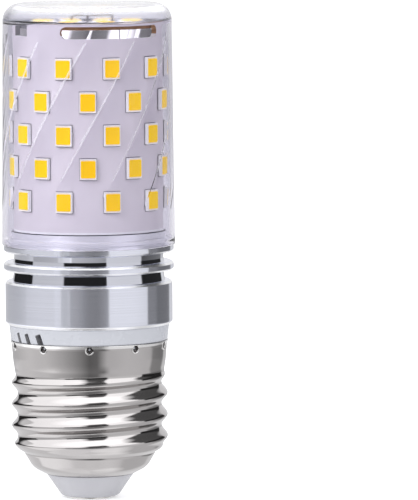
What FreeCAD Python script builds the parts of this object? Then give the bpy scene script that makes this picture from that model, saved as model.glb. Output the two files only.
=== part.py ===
import FreeCAD, Part
import math
import os

# Corn LED bulb with an Edison screw base, standing on its centre contact.
# Millimetres, +Z up. The origin is the middle of the centre contact's face.
# A rolled LED board stands on a turned aluminium ring, under a clear cup.
# The driver sits below, in a white housing that carries the screw shell.

V = FreeCAD.Vector
UP = V(0, 0, 1)
CENTRE = V(0, 0, 0)

# Screw base
thread_pitch = 3.629            # 7 threads to the inch
thread_crest_radius = 13.1
thread_depth = 1.0
thread_height = 13.2
thread_run_out = 1.8            # height over which the thread fades at each end
thread_levels_per_turn = 4      # circles that the wall passes through in a turn
thread_start = 2.0              # above the thread's foot, where the crest first points along +X
shell_wall = 0.3
shell_foot_radius = 7.5
dome_height = 3.5
dome_bulge = 0.75               # how far the dome's side stands off its chord
waist_setback = 1.1             # how far the waist stands inside the thread's root
run_in_height = 0.9
shoulder_height = 1.5
collar_height = 3.55
stake_count = 10
stake_width = 1.3
stake_height = 1.1
stake_depth = 0.22
stake_below_rim = 0.5

# Insulator and centre contact
contact_head_radius = 3.5
contact_proud = 0.3
contact_shank_radius = 1.5
contact_shank_length = 5.2
insulator_tip_radius = 4.75
insulator_base_setback = 0.1    # inside the shell's foot
insulator_height = 3.8
insulator_plug_height = 1.8

# Driver housing
neck_height = 2.65
neck_overhang = 0.1             # how far the neck's foot stands outside the collar
housing_wall = 1.05
housing_foot_gap = 1.5          # from the thread's foot up to the housing's open end
housing_spigot_height = 4.2     # the part that plugs into the ring
neck_slot_angles = (-62.0, -51.0, -40.0)
neck_slot_width = 0.95
neck_slot_height = 2.1
neck_slot_depth = 1.7
neck_slot_slant = 18.0

# Aluminium ring
ring_rim_setback = 0.25         # how far the fins stand inside the cover's foot
band_setback = 0.25             # and the band inside the fins
band_height = 7.4
band_chamfer = 0.6
groove_depth = 1.75
lower_groove_height = 1.8
middle_fin_height = 1.4
upper_groove_height = 1.7
upper_fin_height = 1.15
ring_spigot_ledge = 0.4         # how far the spigot stands outside the board that it carries
ring_spigot_height = 2.55
ring_seat_height = 0.5          # from the upper fin up to the step
ring_step_height = 0.85         # the step that the cover's foot is glued round
ring_step_clearance = 0.25      # between the step and the cover
ring_seat_setback = 0.25        # how far the seat stands inside the step
ring_wall = 1.0                 # behind the grooves

# Rolled LED board and the round board in its top
board_radius = 12.6
board_thickness = 0.8
board_height = 35.1
board_seam_angle = 152.0
board_seam_width = 0.3
slot_from_angle = -20.9
slot_to_angle = 64.5
slot_height = 2.05
slot_bridge = 0.4               # strip left above the slot
notch_from_angle = -70.0
notch_to_angle = -52.0
notch_depth = 2.2
top_board_thickness = 0.6
top_joint_angles = (-8.0, 28.0, 172.0)
top_joint_size = 0.9

# LED packages
led_rows = 5
leds_per_row = 10
led_bottom_margin = 5.4         # from the board's foot up to the bottom row's centre
led_top_margin = 7.4            # from the top row's centre up to the board's top
led_width = 2.8
led_length = 3.5
led_body_height = 0.62
led_window_width = 2.45
led_window_length = 2.85
led_window_height = 0.06
top_led_count = 8
top_led_edge_margin = 1.95
top_led_inner_offset = 2.25

# Clear cover
cover_led_clearance = 0.05
cover_taper = 0.4               # how much wider the cover is at its foot
cover_headroom = 2.2            # over the rolled board
cover_wall = 0.8
cover_corner = 2.8

# Driver
driver_board_thickness = 1.0
driver_board_height = 21.0
driver_channel_depth = 0.5
driver_floor_height = 1.2       # housing left under the board's channels
electrolytic_radius = 3.0
electrolytic_height = 12.0
electrolytic_place = (3.4, 8.2)         # across the board, and up from its foot
inductor_size = (6.0, 3.6, 6.6)         # width, depth off the board, height
inductor_place = (-6.6, 1.2)            # left edge, and foot above the board's foot
film_capacitor_size = (6.2, 3.4, 8.0)
film_capacitor_place = (-6.9, 10.0)
fuse_size = (2.4, 2.4, 6.0)
fuse_place = (3.4, 0.8)
bridge_size = (4.7, 2.5, 3.9)
bridge_place = (-6.5, 2.0)
chip_size = (4.9, 1.6, 3.9)
chip_place = (1.2, 8.5)
resistor_size = (3.1, 0.6, 1.6)
resistor_places = ((-6.0, 9.0), (-6.0, 12.0), (-2.4, 12.0), (3.0, 14.5))
wire_radius = 0.45
wire_sides = 6
led_wire_spread = 7.0           # where the LED leads leave the driver board's top
led_wire_rise = 2.0             # where they end above the rolled board's foot

fit = 0.1                       # clearance between pieces that slide together
cutter_reach = 1.0              # how far a cutting block runs past the wall that it cuts


# Heights and radii that follow from the sizes above
z_tip = contact_proud
z_foot = z_tip + insulator_height
z_waist = z_foot + dome_height
z_thread = z_waist + run_in_height
z_thread_top = z_thread + thread_height
z_collar = z_thread_top + shoulder_height
z_rim = z_collar + collar_height
z_ring = z_rim + neck_height
z_band_top = z_ring + band_height
z_middle_fin = z_band_top + lower_groove_height
z_middle_fin_top = z_middle_fin + middle_fin_height
z_upper_fin = z_middle_fin_top + upper_groove_height
z_cover = z_upper_fin + upper_fin_height
z_step = z_cover + ring_seat_height
z_step_top = z_step + ring_step_height
z_board = z_cover + ring_spigot_height
z_board_top = z_board + board_height
z_cover_top = z_board_top + cover_headroom + cover_wall
z_slot_top = z_board_top - slot_bridge
z_top_board = z_slot_top - top_board_thickness
z_housing = z_thread + housing_foot_gap
z_driver = z_housing + driver_floor_height

thread_mean_radius = thread_crest_radius - thread_depth / 2
waist_radius = thread_crest_radius - thread_depth - waist_setback
shell_bore = thread_crest_radius - thread_depth - shell_wall
waist_bore = waist_radius - 2 * shell_wall      # level with the waist, where the wall slopes
collar_radius = thread_crest_radius
collar_bore = collar_radius - shell_wall
insulator_base_radius = shell_foot_radius - insulator_base_setback
led_reach = math.hypot(board_radius + led_body_height + led_window_height, led_width / 2)
cover_top_radius = led_reach + cover_led_clearance + cover_wall
cover_foot_radius = cover_top_radius + cover_taper
ring_rim_radius = cover_foot_radius - ring_rim_setback
band_radius = ring_rim_radius - band_setback
groove_floor_radius = ring_rim_radius - groove_depth
ring_spigot_radius = board_radius + ring_spigot_ledge
ring_step_radius = cover_foot_radius - cover_wall - ring_step_clearance
ring_seat_radius = ring_step_radius - ring_seat_setback
ring_bore_radius = groove_floor_radius - ring_wall
housing_radius = shell_bore - fit
housing_bore = min(housing_radius, ring_bore_radius - fit) - housing_wall
neck_top_radius = band_radius - band_chamfer
neck_rim_radius = collar_radius + neck_overhang
led_row_pitch = (board_height - led_bottom_margin - led_top_margin) / (led_rows - 1)
board_bore = board_radius - board_thickness
top_board_radius = board_bore - fit
top_led_circle_radius = top_board_radius - top_led_edge_margin - led_length / 2
driver_face = driver_board_thickness / 2


def turned(points):
    """A solid turned from a closed outline of (radius, height) points."""
    corners = [V(r, 0, z) for r, z in points]
    outline = Part.makePolygon(corners + corners[:1])
    return Part.Face(outline).revolve(CENTRE, UP, 360)


def turned_sides(points):
    """The faces that an open outline of (radius, height) points sweeps."""
    outline = Part.makePolygon([V(r, 0, z) for r, z in points])
    return outline.revolve(CENTRE, UP, 360).Faces


def tapered_side(low, high):
    """One ruled face between two circles, given as (radius, height)."""
    rings = [Part.makeCircle(r, V(0, 0, z), UP) for r, z in (low, high)]
    return Part.makeRuledSurface(*rings)


def closed_solid(faces):
    """One solid from faces that meet edge to edge."""
    skin = Part.Shell(faces)
    skin.sewShape()
    solid = Part.Solid(skin)
    if solid.Volume < 0:
        solid.reverse()
    return solid


def facing(angle, shape):
    """The shape turned from the front, -Y, round towards +X by the angle."""
    return shape.rotated(CENTRE, UP, angle)


def front_box(width, outer, inner, low, high):
    """A box at the front between two distances from the axis."""
    return Part.makeBox(width, outer - inner, high - low, V(-width / 2, -outer, low))


def smooth_step(share):
    share = max(0.0, min(1.0, share))
    return share * share * (3 - 2 * share)


def thread_centre(z):
    """Centre of the wall's circle at a height: it goes round once in a pitch."""
    rise = smooth_step((z - z_thread) / thread_run_out)
    fall = smooth_step((z_thread_top - z) / thread_run_out)
    swing = thread_depth / 2 * min(rise, fall)
    turn = 2 * math.pi * (z - z_thread - thread_start) / thread_pitch
    return V(swing * math.cos(turn), swing * math.sin(turn), z)


def screw_shell():
    bands = round(thread_height / thread_pitch * thread_levels_per_turn)
    centres = [thread_centre(z_thread + thread_height * i / bands) for i in range(bands + 1)]
    faces = []
    for low, high in zip(centres, centres[1:]):
        faces += Part.makeCircle(thread_mean_radius, low, UP).extrude(high - low).Faces
    chord = V(waist_radius - shell_foot_radius, 0, dome_height)
    bulge = V(dome_height, 0, -chord.x).normalize() * dome_bulge
    brow = V(shell_foot_radius, 0, z_foot) + chord * 0.5 + bulge
    faces += turned_sides([(0, z_foot), (shell_foot_radius, z_foot), (brow.x, brow.z),
                           (waist_radius, z_waist), (thread_mean_radius, z_thread)])
    faces += turned_sides([(thread_mean_radius, z_thread_top), (collar_radius, z_collar),
                           (collar_radius, z_rim), (0, z_rim)])
    hollow = turned([(0, z_foot), (shell_foot_radius - shell_wall, z_foot), (waist_bore, z_waist),
                     (shell_bore, z_thread), (shell_bore, z_thread_top), (collar_bore, z_collar),
                     (collar_bore, z_rim), (0, z_rim)])
    shell = closed_solid(faces).cut(hollow)
    top = z_rim - stake_below_rim
    outside = -collar_radius - fit
    nick = Part.makePolygon([V(0, outside, top), V(0, -collar_radius + stake_depth, top),
                             V(0, outside, top - stake_height), V(0, outside, top)])
    nick = Part.Face(nick).extrude(V(stake_width, 0, 0))
    nick.translate(V(-stake_width / 2, 0, 0))
    stakes = [facing(360 / stake_count * i, nick) for i in range(stake_count)]
    return shell.cut(stakes)


def insulator():
    plug = shell_foot_radius - shell_wall - fit
    hole = contact_shank_radius + fit / 2
    return turned([(hole, z_tip), (insulator_tip_radius, z_tip), (insulator_base_radius, z_foot),
                   (plug, z_foot), (plug, z_foot + insulator_plug_height),
                   (hole, z_foot + insulator_plug_height)])


def centre_contact():
    return turned([(0, 0), (contact_head_radius, 0), (contact_head_radius, contact_proud),
                   (contact_shank_radius, contact_proud), (contact_shank_radius, contact_shank_length),
                   (0, contact_shank_length)])


def driver_housing():
    collar_spigot = collar_bore - fit
    ring_spigot = ring_bore_radius - fit
    z_top = z_ring + housing_spigot_height
    faces = turned_sides([(neck_top_radius, z_ring), (ring_spigot, z_ring), (ring_spigot, z_top),
                          (housing_bore, z_top), (housing_bore, z_housing),
                          (housing_radius, z_housing), (housing_radius, z_collar),
                          (collar_spigot, z_collar), (collar_spigot, z_rim), (neck_rim_radius, z_rim)])
    faces.append(tapered_side((neck_rim_radius, z_rim), (neck_top_radius, z_ring)))
    channel_reach = housing_bore + driver_channel_depth
    channel_face = driver_face + fit / 2
    slots = [Part.makeBox(2 * channel_reach, 2 * channel_face, z_top - z_driver,
                          V(-channel_reach, -channel_face, z_driver))]
    for angle in neck_slot_angles:
        slot = front_box(neck_slot_width, max(neck_top_radius, neck_rim_radius) + cutter_reach,
                         neck_rim_radius - neck_slot_depth, z_rim, z_rim + neck_slot_height)
        slot.rotate(V(0, 0, z_rim), V(0, 1, 0), -neck_slot_slant)
        above_rim = Part.makeCylinder(band_radius + cutter_reach, neck_height, V(0, 0, z_rim))
        slots.append(facing(angle, slot.common(above_rim)))
    return closed_solid(faces).cut(slots)


def aluminium_ring():
    return turned([
        (ring_bore_radius, z_ring), (band_radius - band_chamfer, z_ring),
        (band_radius, z_ring + band_chamfer), (band_radius, z_band_top),
        (groove_floor_radius, z_band_top), (groove_floor_radius, z_middle_fin),
        (ring_rim_radius, z_middle_fin), (ring_rim_radius, z_middle_fin_top),
        (groove_floor_radius, z_middle_fin_top), (groove_floor_radius, z_upper_fin),
        (ring_rim_radius, z_upper_fin), (ring_rim_radius, z_cover),
        (ring_seat_radius, z_cover), (ring_seat_radius, z_step),
        (ring_step_radius, z_step), (ring_step_radius, z_step_top),
        (ring_spigot_radius, z_step_top), (ring_spigot_radius, z_board),
        (ring_bore_radius, z_board)])


def ring_sector(from_angle, to_angle, low, high):
    """A block across the board's wall, for cutting it between two angles."""
    inner = -board_bore + cutter_reach
    outer = -board_radius - cutter_reach
    face = Part.makePolygon([V(0, inner, low), V(0, outer, low), V(0, outer, high),
                             V(0, inner, high), V(0, inner, low)])
    block = Part.Face(face).revolve(CENTRE, UP, to_angle - from_angle)
    return facing(from_angle, block)


def side_board():
    tube = turned([(board_bore, z_board), (board_radius, z_board),
                   (board_radius, z_board_top), (board_bore, z_board_top)])
    end_radius = slot_height / 2
    end_angle = math.degrees(end_radius / board_radius)
    middle = z_slot_top - end_radius
    cuts = [ring_sector(slot_from_angle + end_angle, slot_to_angle - end_angle,
                        z_slot_top - slot_height, z_slot_top)]
    for angle in (slot_from_angle + end_angle, slot_to_angle - end_angle):
        end = Part.makeCylinder(end_radius, board_thickness + 2 * cutter_reach,
                                V(0, -board_radius - cutter_reach, middle), V(0, 1, 0))
        cuts.append(facing(angle, end))
    cuts.append(ring_sector(notch_from_angle, notch_to_angle,
                            z_board_top - notch_depth, z_board_top + cutter_reach))
    seam = front_box(board_seam_width, board_radius + cutter_reach, board_bore - cutter_reach,
                     z_board, z_board_top)
    cuts.append(facing(board_seam_angle, seam))
    return tube.cut(cuts)


def top_board():
    return turned([(0, z_top_board), (top_board_radius, z_top_board),
                   (top_board_radius, z_slot_top), (0, z_slot_top)])


def top_joints():
    """Solder that ties the round board to the rolled board's top edge."""
    joints = []
    for angle in top_joint_angles:
        wedge = Part.makePolygon([V(0, -board_bore, z_slot_top),
                                  V(0, -board_bore, z_slot_top + slot_bridge),
                                  V(0, -board_bore + top_joint_size, z_slot_top),
                                  V(0, -board_bore, z_slot_top)])
        joint = Part.Face(wedge).extrude(V(top_joint_size, 0, 0))
        joint.translate(V(-top_joint_size / 2, fit / 2, 0))
        joints.append(facing(angle, joint))
    return Part.makeCompound(joints)


def row_angles(row):
    """Angles of one row's packages: alternate rows are half a step round."""
    step = 360 / leds_per_row
    start = step / 2 if row % 2 == 1 else 0
    return [start + step * i for i in range(leds_per_row)]


def led_row(row, part):
    """One row of packages, or of their windows, counted from the top as 1."""
    middle = z_board + led_bottom_margin + led_row_pitch * (led_rows - row)
    inner = board_radius + (0 if part == "body" else led_body_height)
    outer = inner + (led_body_height if part == "body" else led_window_height)
    width = led_width if part == "body" else led_window_width
    length = led_length if part == "body" else led_window_length
    package = front_box(width, outer, inner, middle - length / 2, middle + length / 2)
    return Part.makeCompound([facing(angle, package) for angle in row_angles(row)])


def top_leds(part):
    low = z_slot_top + (0 if part == "body" else led_body_height)
    height = led_body_height if part == "body" else led_window_height
    width = led_width if part == "body" else led_window_width
    length = led_length if part == "body" else led_window_length
    leds = []
    for i in range(top_led_count):
        led = Part.makeBox(width, length, height, V(-width / 2, -top_led_circle_radius - length / 2, low))
        leds.append(facing(360 / top_led_count * (i + 0.5), led))
    for side in (-1, 1):
        middle = side * top_led_inner_offset
        leds.append(Part.makeBox(width, length, height, V(middle - width / 2, -length / 2, low)))
    return Part.makeCompound(leds)


def clear_cover():
    bend = cover_corner * (1 - math.sqrt(0.5))
    z_corner = z_cover_top - cover_corner
    foot = (cover_foot_radius, z_cover)
    shoulder = (cover_top_radius, z_corner)
    inner_foot = (cover_foot_radius - cover_wall, z_cover)
    inner_shoulder = (cover_top_radius - cover_wall, z_corner)
    flat_radius = cover_top_radius - cover_corner
    faces = [tapered_side(foot, shoulder), tapered_side(inner_foot, inner_shoulder)]
    faces += turned_sides([inner_foot, foot])
    faces += turned_sides([shoulder, (cover_top_radius - bend, z_cover_top - bend),
                           (flat_radius, z_cover_top), (0, z_cover_top)])
    faces += turned_sides([inner_shoulder, (flat_radius, z_cover_top - cover_wall),
                           (0, z_cover_top - cover_wall)])
    return closed_solid(faces)


def driver_board():
    width = 2 * (housing_bore + driver_channel_depth) - fit
    return Part.makeBox(width, driver_board_thickness, driver_board_height,
                        V(-width / 2, -driver_face, z_driver))


def on_front(size, place):
    """A boxed component on the driver board's front."""
    width, depth, height = size
    x, z = place
    return Part.makeBox(width, depth, height, V(x, -driver_face - depth, z_driver + z))


def on_back(size, place):
    width, depth, height = size
    x, z = place
    return Part.makeBox(width, depth, height, V(x, driver_face, z_driver + z))


def electrolytic_capacitor():
    x, z = electrolytic_place
    return Part.makeCylinder(electrolytic_radius, electrolytic_height,
                             V(x, -driver_face - electrolytic_radius, z_driver + z))


def chip_resistors():
    return Part.makeCompound([on_back(resistor_size, place) for place in resistor_places])


def lead(start, end):
    """A straight lead between the middles of its two ends."""
    along = end - start
    around = along.cross(V(0, 1, 0)).normalize() * wire_radius
    turn = FreeCAD.Rotation(along, 360 / wire_sides)
    corners = [around]
    for _ in range(wire_sides - 1):
        corners.append(turn.multVec(corners[-1]))
    corners.append(around)
    return Part.Face(Part.makePolygon([start + c for c in corners])).extrude(along)


def live_wire():
    return lead(V(0, 0, contact_shank_length), V(0, 0, z_driver))


def neutral_wire():
    low = z_waist + wire_radius
    wall = waist_bore + (shell_bore - waist_bore) * wire_radius / run_in_height
    start = V(-wall / 2, 0, z_driver - wire_radius - fit)
    return lead(start, V(-wall + wire_radius, 0, low + wire_radius))


def led_wire(side):
    low = z_driver + driver_board_height + wire_radius
    reach = board_bore - wire_radius - fit
    return lead(V(side * led_wire_spread, 0, low), V(side * reach, 0, z_board + led_wire_rise))


nodes = {
    "clear_cover": clear_cover(),
    "side_board": side_board(),
    "top_board": top_board(),
    "top_solder_joints": top_joints(),
    "top_leds": top_leds("body"),
    "top_led_windows": top_leds("window"),
    "aluminium_ring": aluminium_ring(),
    "driver_housing": driver_housing(),
    "screw_shell": screw_shell(),
    "insulator": insulator(),
    "centre_contact": centre_contact(),
    "driver_board": driver_board(),
    "electrolytic_capacitor": electrolytic_capacitor(),
    "power_inductor": on_front(inductor_size, inductor_place),
    "film_capacitor": on_front(film_capacitor_size, film_capacitor_place),
    "fuse_resistor": on_front(fuse_size, fuse_place),
    "bridge_rectifier": on_back(bridge_size, bridge_place),
    "driver_chip": on_back(chip_size, chip_place),
    "chip_resistors": chip_resistors(),
    "live_wire": live_wire(),
    "neutral_wire": neutral_wire(),
    "led_wire_positive": led_wire(1),
    "led_wire_negative": led_wire(-1),
}
for row in range(1, led_rows + 1):
    nodes["led_row_%d" % row] = led_row(row, "body")
    nodes["led_windows_%d" % row] = led_row(row, "window")

os.makedirs("parts", exist_ok=True)
for name, shape in nodes.items():
    shape.exportStep("parts/%s.step" % name)
    print(name, len(shape.Solids), "solids", round(shape.Volume, 2), "mm3", shape.isValid())
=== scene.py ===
import bpy
import bmesh
import math
from mathutils import Matrix, Vector


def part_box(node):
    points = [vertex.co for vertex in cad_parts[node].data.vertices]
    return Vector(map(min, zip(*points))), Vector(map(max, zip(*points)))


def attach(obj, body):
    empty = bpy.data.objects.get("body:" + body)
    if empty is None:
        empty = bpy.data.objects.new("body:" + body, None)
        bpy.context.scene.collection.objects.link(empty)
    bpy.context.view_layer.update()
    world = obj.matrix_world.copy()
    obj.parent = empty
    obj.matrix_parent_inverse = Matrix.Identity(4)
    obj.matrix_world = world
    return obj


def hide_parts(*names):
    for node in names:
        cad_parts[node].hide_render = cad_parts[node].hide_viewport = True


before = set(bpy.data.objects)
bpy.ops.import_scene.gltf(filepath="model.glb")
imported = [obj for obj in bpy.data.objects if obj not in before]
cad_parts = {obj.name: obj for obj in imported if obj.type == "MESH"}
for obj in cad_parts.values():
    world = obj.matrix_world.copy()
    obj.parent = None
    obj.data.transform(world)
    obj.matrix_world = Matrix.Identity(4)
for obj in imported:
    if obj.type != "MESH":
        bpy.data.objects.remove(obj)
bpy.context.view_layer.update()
print("frame loaded:", len(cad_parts), "nodes")

mm = 0.001  # everything below is modelled in millimetres and scaled once, when a piece is added
frontAngle = -math.pi / 2  # the front of the bulb, -Y, as an angle from +X
weld = 0.0005  # corners closer than this become one
offLine = 0.001  # how far a corner may lie off the straight run that it belongs to
edgeOn = 0.7  # a face whose normal has less than this along a direction is seen edge-on from there


# helpers for shapes

def boxOf(node):
    low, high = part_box(node)
    return low / mm, high / mm


def easeInOut(share):
    share = max(0.0, min(1.0, share))
    return share * share * (3 - 2 * share)


def longestBetween(bm, start, end):
    # the longest edge on the straight line between two corners
    along = (end - start).normalized()
    best = None
    for edge in bm.edges:
        aside = [(v.co - start).cross(along).length for v in edge.verts]
        if max(aside) < offLine and (best is None or edge.calc_length() > best.calc_length()):
            best = edge
    return best


def addSupports(bm, start, end, nearness=0.08):
    # short divisions near both ends of a straight run, so that smooth shading keeps the run straight
    for _ in range(2):
        edge = longestBetween(bm, start, end)
        if edge is None or edge.calc_length() < nearness * 3:
            return
        near = min(edge.verts, key=lambda v: (v.co - start).length)
        bmesh.utils.edge_split(edge, near, nearness / edge.calc_length())
        start, end = end, start


def turnedShape(corners, steps=256, closed=True, arcSteps=6, cuts=None):
    # corners are (radius, height, rounding), the rounding measured along both edges, and may add
    # how many facets it has; cuts maps an edge's number to how often it is divided
    bm = bmesh.new()
    points = [Vector((corner[0], 0, corner[1])) for corner in corners]
    verts = [bm.verts.new(point) for point in points]
    ends = verts[1:] + verts[:1] if closed else verts[1:]
    for pair in zip(verts, ends):
        bm.edges.new(pair)
    for point, corner in zip(points, corners):
        if corner[2]:
            vert = min(bm.verts, key=lambda v: (v.co - point).length)
            segments = corner[3] if len(corner) > 3 else arcSteps
            bmesh.ops.bevel(bm, geom=[vert], offset=corner[2], offset_type="OFFSET", segments=segments,
                            profile=0.5, affect="VERTICES", material=-1)
    for point, nextPoint in zip(points, points[1:] + points[:1] if closed else points[1:]):
        addSupports(bm, point, nextPoint)
    for number, count in (cuts or {}).items():
        edge = longestBetween(bm, points[number], points[(number + 1) % len(points)])
        bmesh.ops.subdivide_edges(bm, edges=[edge], cuts=count)
    bmesh.ops.spin(bm, geom=bm.verts[:] + bm.edges[:], cent=(0, 0, 0), axis=(0, 0, 1),
                   angle=math.tau, steps=steps, use_merge=True)
    bmesh.ops.remove_doubles(bm, verts=bm.verts[:], dist=weld)
    bmesh.ops.recalc_face_normals(bm, faces=bm.faces[:])
    return bm


def turnAbout(bm, angle, axis="Z"):
    bmesh.ops.rotate(bm, cent=(0, 0, 0), matrix=Matrix.Rotation(angle, 3, axis), verts=bm.verts[:])


def moveBy(bm, across, back, up):
    bmesh.ops.translate(bm, vec=(across, back, up), verts=bm.verts[:])


def blockShape(size, centre, rounding=0.0, roundSteps=3, along=None):
    # a block with its edges rounded: all of them, or only those that run along one axis
    bm = bmesh.new()
    bmesh.ops.create_cube(bm, size=1)
    bmesh.ops.scale(bm, vec=size, verts=bm.verts[:])
    if rounding:
        edges = bm.edges[:]
        if along is not None:
            edges = [e for e in edges if abs((e.verts[0].co - e.verts[1].co)[along]) > size[along] / 2]
        bmesh.ops.bevel(bm, geom=edges, offset=rounding, offset_type="OFFSET", segments=roundSteps,
                        profile=0.5, affect="EDGES", material=-1)
    moveBy(bm, *centre)
    return bm


def rollUp(bm, radius, stepAngle=math.radians(1.25)):
    # bends a flat sheet round the axis: x becomes the way round, y the height above the radius outwards
    reach = max(abs(v.co.x) for v in bm.verts)
    step = radius * stepAngle
    for i in range(int(-reach / step), int(reach / step) + 1):
        bmesh.ops.bisect_plane(bm, geom=bm.verts[:] + bm.edges[:] + bm.faces[:], dist=0.0001,
                               plane_co=(i * step, 0, 0), plane_no=(1, 0, 0))
    for v in bm.verts:
        angle = frontAngle + v.co.x / radius
        out = radius + v.co.y
        v.co = Vector((out * math.cos(angle), out * math.sin(angle), v.co.z))


def joinShapes(shapes):
    bm = bmesh.new()
    for shape in shapes:
        mesh = bpy.data.meshes.new("part")
        shape.to_mesh(mesh)
        shape.free()
        bm.from_mesh(mesh)
        bpy.data.meshes.remove(mesh)
    return bm


def cutAway(body, cutter):
    # takes the cutter out of the body and gives the result back as a bmesh
    made = []
    for name, bm in (("cutBody", body), ("cutter", cutter)):
        mesh = bpy.data.meshes.new(name)
        bmesh.ops.recalc_face_normals(bm, faces=bm.faces[:])
        bm.to_mesh(mesh)
        bm.free()
        made.append(bpy.data.objects.new(name, mesh))
        bpy.context.scene.collection.objects.link(made[-1])
    cut = made[0].modifiers.new("cut", "BOOLEAN")
    cut.operation = "DIFFERENCE"
    cut.solver = "EXACT"
    cut.object = made[1]
    bpy.context.view_layer.update()
    mesh = bpy.data.meshes.new_from_object(made[0].evaluated_get(bpy.context.evaluated_depsgraph_get()))
    result = bmesh.new()
    result.from_mesh(mesh)
    bpy.data.meshes.remove(mesh)
    for obj in made:
        bpy.data.meshes.remove(obj.data)
    return result


def addPiece(name, bm, materials, nodes, sharpAngle):
    bmesh.ops.scale(bm, vec=(mm, mm, mm), verts=bm.verts[:])
    mesh = bpy.data.meshes.new(name)
    bm.to_mesh(mesh)
    bm.free()
    for material in materials:
        mesh.materials.append(material)
    mesh.shade_smooth()
    mesh.set_sharp_from_angle(angle=math.radians(sharpAngle))
    piece = bpy.data.objects.new(name, mesh)
    bpy.context.scene.collection.objects.link(piece)
    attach(piece, "root")
    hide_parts(*nodes)


# helpers for materials

def feed(tree, socket, value):
    # a socket takes another node's output, a colour or a plain value
    if isinstance(value, bpy.types.NodeSocket):
        tree.links.new(value, socket)
    elif socket.type == "RGBA":
        socket.default_value = (*value, 1)
    else:
        socket.default_value = value


def setShader(tree, socket, value):
    feed(tree, tree.nodes["Principled BSDF"].inputs[socket], value)


def newMaterial(name, colour, roughness, metallic=0.0, sockets=None):
    material = bpy.data.materials.new(name)
    material.use_nodes = True
    plain = {"Base Color": colour, "Roughness": roughness, "Metallic": metallic}
    for socket, value in {**plain, **(sockets or {})}.items():
        setShader(material.node_tree, socket, value)
    return material


def addNode(tree, kind, inputs=None, **settings):
    node = tree.nodes.new(kind)
    for name, value in settings.items():
        setattr(node, name, value)
    for name, value in (inputs or {}).items():
        feed(tree, node.inputs[name], value)
    return node


def mathNode(tree, operation, *values):
    return addNode(tree, "ShaderNodeMath", dict(enumerate(values)), operation=operation).outputs[0]


def mixColours(tree, factor, low, high, **settings):
    inputs = {"Factor": factor, "A": low, "B": high}
    return addNode(tree, "ShaderNodeMix", inputs, data_type="RGBA", **settings).outputs["Result"]


def remapped(tree, value, start, end, low=0.0, high=1.0, **settings):
    # start to end becomes low to high, and what lies beyond keeps to low or high
    inputs = {"Value": value, "From Min": start, "From Max": end, "To Min": low, "To Max": high}
    return addNode(tree, "ShaderNodeMapRange", inputs, **settings).outputs["Result"]


def rampOf(tree, factor, stops):
    # stops are (place, colour), from the start of the ramp to its end
    ramp = addNode(tree, "ShaderNodeValToRGB", {"Fac": factor})
    elements = ramp.color_ramp.elements
    for index, (place, colour) in enumerate(stops):
        element = elements[index] if index < 2 else elements.new(place)
        element.position = place
        element.color = (*colour, 1)
    return ramp.outputs["Color"]


def coolGrey(value, blue=1.02):
    return value, value, value * blue


def placeOf(tree, coordinates="Object"):
    # the X, Y and Z of a point on its piece
    place = addNode(tree, "ShaderNodeTexCoord")
    return addNode(tree, "ShaderNodeSeparateXYZ", {"Vector": place.outputs[coordinates]}).outputs[:]


def patternOf(tree, scale, stretch=(1, 1, 1), detail=4.0):
    # a noise in the piece's own coordinates; scale is in features per metre
    place = addNode(tree, "ShaderNodeTexCoord")
    mapping = addNode(tree, "ShaderNodeMapping", {"Vector": place.outputs["Object"], "Scale": stretch})
    inputs = {"Vector": mapping.outputs["Vector"], "Scale": scale, "Detail": detail}
    return addNode(tree, "ShaderNodeTexNoise", inputs).outputs["Fac"]


finish = {
    "noiseSpread": (0.3, 0.7),   # nearly all that a noise gives lies between these
    "mottle": 0.2,               # the patterns of a plain finish, as shares of its scale
    "roughness": 0.5,
    "skin": 4,
    "skinStrength": 0.4,
}


def ranged(tree, pattern, low, high):
    return remapped(tree, pattern, *finish["noiseSpread"], low, high)


def colourBetween(tree, factor, low, high):
    setShader(tree, "Base Color", mixColours(tree, factor, low, high))


def addBump(tree, pattern, distance, strength):
    bump = addNode(tree, "ShaderNodeBump", {"Height": pattern, "Distance": distance, "Strength": strength})
    setShader(tree, "Normal", bump.outputs["Normal"])


def plainFinish(name, low, high, roughness, scale=900, bump=0.00001, metallic=0.0, sockets=None):
    # a moulded, coated or plated surface: slight mottle in colour and gloss, and a fine skin
    material = newMaterial(name, low, roughness[0], metallic, sockets)
    tree = material.node_tree
    colourBetween(tree, ranged(tree, patternOf(tree, scale * finish["mottle"]), 0, 1), low, high)
    setShader(tree, "Roughness", ranged(tree, patternOf(tree, scale * finish["roughness"]), *roughness))
    addBump(tree, patternOf(tree, scale * finish["skin"]), bump, finish["skinStrength"])
    return material


# clear cover

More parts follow.
